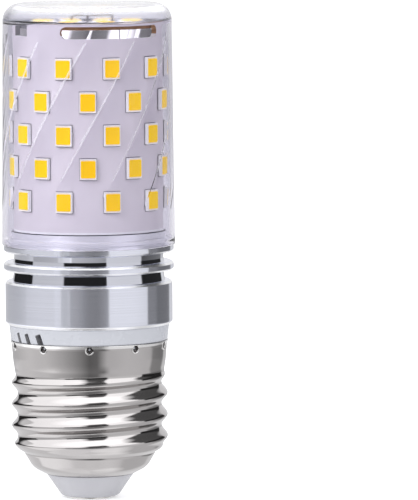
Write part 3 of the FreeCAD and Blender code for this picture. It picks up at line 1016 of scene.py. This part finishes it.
def stakeBall(height, angle):
    bm = bmesh.new()
    bmesh.ops.create_uvsphere(bm, u_segments=24, v_segments=16, radius=shell["stakeRadius"])
    bmesh.ops.scale(bm, vec=shell["stakeShape"], verts=bm.verts[:])
    moveBy(bm, 0, -shell["crest"] - shell["stakeOut"], height)
    turnAbout(bm, angle)
    return bm


def inDent(point, height):
    # whether a point lies on one of the stakes' balls, or just past it
    turn = math.tau / shell["stakes"]
    angle = math.atan2(point.x, -point.y)
    angle -= round(angle / turn) * turn
    radius = math.hypot(point.x, point.y)
    offset = (radius * math.sin(angle), radius * math.cos(angle) - shell["crest"] - shell["stakeOut"],
              point.z - height)
    scaled = [part / share for part, share in zip(offset, shell["stakeShape"])]
    return math.hypot(*scaled) < shell["stakeRadius"] + shell["dentReach"]


def lipShape(height, angle):
    # the raised lip round the lower side of a stake
    bm = bmesh.new()
    bmesh.ops.create_circle(bm, segments=10, radius=shell["lip"])
    moveBy(bm, shell["stakeRadius"], 0, 0)
    turnAbout(bm, math.radians(shell["lipTurn"]), "Y")
    bmesh.ops.spin(bm, geom=bm.verts[:] + bm.edges[:], cent=(0, 0, 0), axis=(0, 1, 0),
                   angle=math.radians(shell["lipSweep"]), steps=20)
    bmesh.ops.holes_fill(bm, edges=[e for e in bm.edges if e.is_boundary], sides=0)
    bmesh.ops.recalc_face_normals(bm, faces=bm.faces[:])
    moveBy(bm, 0, -shell["crest"] - shell["lipOut"], height)
    turnAbout(bm, angle)
    return bm


def buildShell():
    low, high = boxOf("screw_shell")
    wall, crest, flared = shell["wall"], shell["crest"], shell["crest"] + shell["flare"]
    mean, leaned = crest - shell["depth"] / 2, crest - shell["collarLean"]
    footRadius, waistRadius, crease = shell["footRadius"], shell["waistRadius"], shell["creaseRadius"]
    foot = low.z + shell["threadFrom"]
    top = foot + shell["threadHeight"]
    shoulder = top + shell["shoulderHeight"]
    waist = low.z + shell["waistHeight"]
    neck = high.z - shell["flareHeight"]
    dome = footRadius + shell["domeReach"]
    bm = turnedShape([
        (footRadius - wall, low.z, 0.05), (footRadius, low.z, 0.2), (dome, low.z + shell["domeRise"], 0.8),
        (waistRadius, waist, 0.15), (crease, low.z + shell["creaseHeight"], 0.05),
        (mean, foot, 1.0), (mean, top, 0.6), (leaned, shoulder, 0.8), (crest, neck, 0.3),
        (flared, high.z, 0.14), (flared - wall, high.z, 0.1),
        (crest - wall, neck, 0.3), (leaned - wall, shoulder, 0.8), (mean - wall, top, 0.6),
        (mean - wall, foot, 0.6), (waistRadius - wall, waist, 0.6),
        (dome - wall / 2, low.z + shell["domeInnerRise"], 0.6),
    ], steps=240, arcSteps=6, cuts={4: 10, 5: 120, 6: 14, 12: 14, 13: 76, 14: 10})
    rollThread(bm, foot, top)
    stakeHeight = high.z - shell["stakeDrop"]
    angles = [math.tau * i / shell["stakes"] for i in range(shell["stakes"])]
    bm = cutAway(bm, joinShapes([stakeBall(stakeHeight, angle) for angle in angles]))
    for face in bm.faces:
        centre = face.calc_center_median()
        inStake = abs(centre.z - stakeHeight) < shell["stakeRadius"] and inDent(centre, stakeHeight)
        if inStake or centre.z < low.z + shell["footBand"]:
            face.material_index = 1
        elif centre.z > neck + shell["brightFrom"]:
            face.material_index = 2
    nickel, dentShade, bright = (
        plainFinish(name, *shell[colours], roughness, scale=500, bump=bump, metallic=1.0)
        for name, colours, roughness, bump in (
            ("nickelPlate", "colour", (0.07, 0.11), 0.000003), ("nickelPaintedShade", "dentShade", (0.2, 0.3), 0.000004),
            ("nickelPaintedHighlight", "rimPaintedHighlight", (0.12, 0.2), 0.000003)))
    addPiece("rolledShell", bm, [nickel, dentShade, bright], ["screw_shell"], sharpAngle=38)
    # the stakes' lips take the same painted highlight
    lips = joinShapes([lipShape(stakeHeight, angle) for angle in angles])
    addPiece("stakeLips", lips, [bright], [], sharpAngle=60)


buildShell()
print("screw shell made")


# insulator and centre contact

base = {
    "tip": 4.75,
    "tipRounding": 0.45,
    "plug": 7.1,
    "hole": 1.55,
    "white": ((0.61, 0.61, 0.65), (0.65, 0.65, 0.685)),
    "shank": 1.5,
    "headRounding": 0.12,
    "metal": ((0.70, 0.69, 0.66), (0.78, 0.77, 0.74)),
}


def buildBase():
    low, high = boxOf("insulator")
    tipFoot, shellFoot = low.z, boxOf("screw_shell")[0].z
    bm = turnedShape([
        (base["hole"], tipFoot, 0.05), (base["tip"], tipFoot, base["tipRounding"]),
        (high.x, shellFoot, 0.12), (base["plug"], shellFoot, 0.05), (base["plug"], high.z, 0.2),
        (base["hole"], high.z, 0.05)],
        steps=200, arcSteps=5)
    white = plainFinish("insulatorPlastic", *base["white"], roughness=(0.16, 0.26), scale=600)
    addPiece("insulatorCone", bm, [white], ["insulator"], sharpAngle=30)
    low, high = boxOf("centre_contact")
    bm = turnedShape([
        (0, low.z, 0), (high.x, low.z, base["headRounding"]), (high.x, tipFoot, 0.1),
        (base["shank"], tipFoot, 0.1), (base["shank"], high.z, 0.2), (0, high.z, 0)],
        steps=160, closed=False, arcSteps=5)
    metal = plainFinish("contactMetal", *base["metal"], roughness=(0.14, 0.24), metallic=1.0)
    addPiece("contactRivet", bm, [metal], ["centre_contact"], sharpAngle=30)


buildBase()
print("insulator and contact made")


# the solder joints at the top and what is inside the housing keep their own shape

inner = {   # finish, darkest and lightest colour, roughness, metallic
    "top_solder_joints": ("jointSolder", (0.60, 0.61, 0.63), (0.74, 0.75, 0.77), (0.15, 0.3), 1.0),
    "driver_board": ("driverLaminate", (0.05, 0.20, 0.08), (0.07, 0.26, 0.11), (0.35, 0.5), 0.0),
    "electrolytic_capacitor": ("capacitorSleeve", (0.02, 0.03, 0.07), (0.03, 0.04, 0.10), (0.2, 0.3), 0.0),
    "power_inductor": ("ferrite", (0.06, 0.055, 0.05), (0.10, 0.09, 0.085), (0.55, 0.75), 0.0),
    "film_capacitor": ("filmYellow", (0.70, 0.42, 0.04), (0.80, 0.50, 0.07), (0.3, 0.4), 0.0),
    "fuse_resistor": ("fuseCase", (0.05, 0.20, 0.12), (0.08, 0.27, 0.16), (0.3, 0.45), 0.0),
    "bridge_rectifier": ("bridgeEpoxy", (0.02, 0.02, 0.022), (0.035, 0.035, 0.04), (0.5, 0.65), 0.0),
    "driver_chip": ("chipEpoxy", (0.02, 0.02, 0.022), (0.03, 0.03, 0.035), (0.45, 0.6), 0.0),
    "chip_resistors": ("resistorBody", (0.02, 0.02, 0.02), (0.05, 0.05, 0.05), (0.3, 0.5), 0.0),
    "live_wire": ("leadRed", (0.50, 0.02, 0.015), (0.60, 0.03, 0.02), (0.3, 0.4), 0.0),
    "led_wire_positive": ("ledLeadRed", (0.50, 0.02, 0.015), (0.60, 0.03, 0.02), (0.3, 0.4), 0.0),
    "neutral_wire": ("leadBlack", (0.02, 0.02, 0.025), (0.035, 0.035, 0.04), (0.3, 0.4), 0.0),
    "led_wire_negative": ("ledLeadBlack", (0.02, 0.02, 0.025), (0.035, 0.035, 0.04), (0.3, 0.4), 0.0),
}
for node, (name, low, high, roughness, metallic) in inner.items():
    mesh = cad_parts[node].data
    mesh.materials.clear()
    mesh.materials.append(plainFinish(name, low, high, roughness, scale=1500, metallic=metallic))
print("inner parts finished")


# studio: floor, lamps, surroundings, camera

studio = {
    "floorSize": 4.0,
    "floorColour": (0.90, 0.90, 0.905),
    "floorGlow": 0.42,           # what the camera sees the floor add, so that it reads as white
    "asideGlow": 0.0,            # the same through the cup's wall, which bends the view far aside
    "asideFrom": 4.0,            # degrees to the side of the bulb
    "asideTo": 9.0,
    "diffuse": 0.80,
    "softened": 0.35,            # how much of the room that glints inside the clear cup see is plain
    "plainRoom": (0.8, 0.8, 0.82),
    "leastFade": 0.002,          # between two rows of the surroundings
    "aim": (0, 0, 0.045),
    "key": {"place": (-0.60, -0.62, 0.55), "size": 0.7, "power": 4.2},
    "fill": {"place": (0.75, -0.45, 0.35), "size": 0.7, "power": 1.05},
    "back": {"place": (0.1, 0.8, 0.6), "size": 0.8, "power": 1.9},
    "inside": {"place": (0.0, 0.0, 0.064), "size": 0.006, "power": 0.0055, "aim": (0.0, 0.012, 0.077)},
    "bounces": 24,               # light that is caught in the cup's wall gets out again
}

# what polished pieces see round about, from low to high: the band of heights that a row fills, as the
# upward part of a direction, and its brightness by degrees from the front towards +X
surroundings = (
    ((-1.0, -0.92), ((-180, 1.1), (-60, 1.08), (-20, 0.98), (40, 1.0), (90, 1.25), (180, 1.0))),
    ((-0.80, -0.45), ((-180, 0.9), (-129, 0.9), (-126, 1.3), (-60, 1.3), (-44, 0.8), (-20, 0.5), (0, 0.22),
                      (24, 0.25), (34, 0.8), (84, 0.8), (92, 0.7), (144, 0.66), (150, 0.9), (180, 0.9))),
    ((-0.32, -0.19), ((-180, 0.85), (-110, 0.95), (-70, 0.85), (-40, 0.60), (-14, 0.34), (0, 0.17), (12, 0.2),
                      (27, 0.72), (60, 0.80), (106, 0.72), (112, 0.36), (142, 0.3), (150, 0.8), (180, 0.8))),
    ((-0.13, -0.04), ((-180, 0.60), (-157, 0.60), (-131, 0.60), (-112, 0.64), (-97, 0.82), (-94, 0.52),
                      (-60, 0.60), (-49, 0.66), (-47, 0.92), (-44, 0.80), (-40, 0.92), (-38, 0.98),
                      (-29, 1.0), (-27.5, 1.4), (-26, 0.70), (26.5, 0.42), (27, 0.86), (60, 0.84),
                      (88, 0.80), (90, 0.12), (146, 0.24), (148, 0.66), (180, 0.60))),
    ((-0.035, 0.26), ((-180, 0.84), (-159, 0.80), (-157, 0.02), (-97, 0.02), (-95, 0.72), (-40, 0.78),
                      (-38, 0.02), (27, 0.02), (28, 0.90), (87, 0.86), (89, 0.02), (144, 0.03), (146, 0.84),
                      (180, 0.84))),
    ((0.38, 0.80), ((-180, 0.9), (-129, 0.9), (-127, 1.5), (-20, 1.7), (-10, 0.9), (-4, 0.12), (26, 0.1),
                    (30, 1.7), (76, 1.6), (86, 0.12), (140, 0.1), (150, 0.9), (180, 0.9))),
    ((0.92, 1.0), ((-180, 2.0), (180, 2.0))),
)


def buildWorld():
    world = bpy.data.worlds.new("studioTent")
    bpy.context.scene.world = world
    world.use_nodes = True
    tree = world.node_tree
    x, y, z = placeOf(tree, "Generated")
    angle = mathNode(tree, "ARCTAN2", x, mathNode(tree, "MULTIPLY", y, -1.0))
    share = mathNode(tree, "MULTIPLY_ADD", angle, 1 / math.tau, 0.5)
    seen, reached = None, None
    for (start, end), stops in surroundings:
        row = rampOf(tree, share, [((degrees + 180) / 360, coolGrey(value)) for degrees, value in stops])
        if seen:
            risen = remapped(tree, z, reached, max(start, reached + studio["leastFade"]))
            row = mixColours(tree, risen, seen, row)
        seen, reached = row, end
    path = addNode(tree, "ShaderNodeLightPath")
    mirrored = mathNode(tree, "GREATER_THAN", path.outputs["Glossy Depth"], 0.5)
    scattered = mathNode(tree, "GREATER_THAN", path.outputs["Diffuse Depth"], 0.5)
    soft = mathNode(tree, "MINIMUM", path.outputs["Transmission Depth"], studio["softened"])
    seen = mixColours(tree, soft, seen, studio["plainRoom"])
    light = mixColours(tree, mirrored, (1, 1, 1), seen)
    light = mixColours(tree, scattered, light, coolGrey(studio["diffuse"]))
    feed(tree, tree.nodes["Background"].inputs["Color"], light)


def buildFloor():
    bm = bmesh.new()
    bmesh.ops.create_grid(bm, x_segments=2, y_segments=2, size=studio["floorSize"])
    mesh = bpy.data.meshes.new("floor")
    bm.to_mesh(mesh)
    bm.free()
    floor = bpy.data.objects.new("floor", mesh)
    bpy.context.scene.collection.objects.link(floor)
    material = newMaterial("floorPaper", studio["floorColour"], 0.9, sockets={"Specular IOR Level": 0.0})
    tree = material.node_tree
    path = addNode(tree, "ShaderNodeLightPath")
    x, y, _ = placeOf(tree)
    aside = mathNode(tree, "ABSOLUTE", mathNode(tree, "ARCTAN2", x, y))
    faded = remapped(tree, aside, math.radians(studio["asideFrom"]), math.radians(studio["asideTo"]),
                     studio["floorGlow"], studio["asideGlow"])
    direct = mathNode(tree, "MULTIPLY", path.outputs["Is Camera Ray"], studio["floorGlow"])
    through = mathNode(tree, "MULTIPLY", path.outputs["Is Transmission Ray"], faded)
    setShader(tree, "Emission Color", (1, 1, 1))
    setShader(tree, "Emission Strength", mathNode(tree, "MAXIMUM", direct, through))
    mesh.materials.append(material)
    floor.visible_glossy = False


def addLamp(name):
    lamp = studio[name]
    data = bpy.data.lights.new(name, "AREA")
    data.shape = "DISK"
    data.size = lamp["size"]
    data.energy = lamp["power"]
    obj = bpy.data.objects.new(name, data)
    obj.location = lamp["place"]
    aim = Vector(lamp.get("aim", studio["aim"])) - obj.location
    obj.rotation_euler = aim.to_track_quat("-Z", "Y").to_euler()
    obj.visible_glossy = False
    bpy.context.scene.collection.objects.link(obj)


view = {
    "distance": 1.20,
    "elevation": 4.8,         # degrees above the bulb's middle
    "seenHeight": 0.0843,     # what the picture's height covers at the bulb
    "aimAside": 0.02028,      # the bulb stands to the left of the picture's middle
    "aimHeight": 0.0417,
    "roll": -0.32,            # degrees
    "clip": (0.05, 20),
}


def buildCamera():
    data = bpy.data.cameras.new("camera")
    data.lens = data.sensor_width * view["distance"] / view["seenHeight"]
    data.clip_start, data.clip_end = view["clip"]
    obj = bpy.data.objects.new("camera", data)
    rise = math.radians(view["elevation"])
    aim = Vector((view["aimAside"], 0, view["aimHeight"]))
    obj.location = Vector((0, -math.cos(rise), math.sin(rise))) * view["distance"] + Vector((0, 0, aim.z))
    look = (aim - obj.location).to_track_quat("-Z", "Y").to_matrix()
    look = look @ Matrix.Rotation(math.radians(view["roll"]), 3, "Z")
    obj.rotation_euler = look.to_euler()
    bpy.context.scene.collection.objects.link(obj)
    bpy.context.scene.camera = obj


buildWorld()
buildFloor()
for lampName in ("key", "fill", "back", "inside"):
    addLamp(lampName)
buildCamera()
bpy.context.scene.view_settings.view_transform = "Standard"
for limit in ("max_bounces", "glossy_bounces", "transmission_bounces"):
    setattr(bpy.context.scene.cycles, limit, studio["bounces"])
print("studio ready")
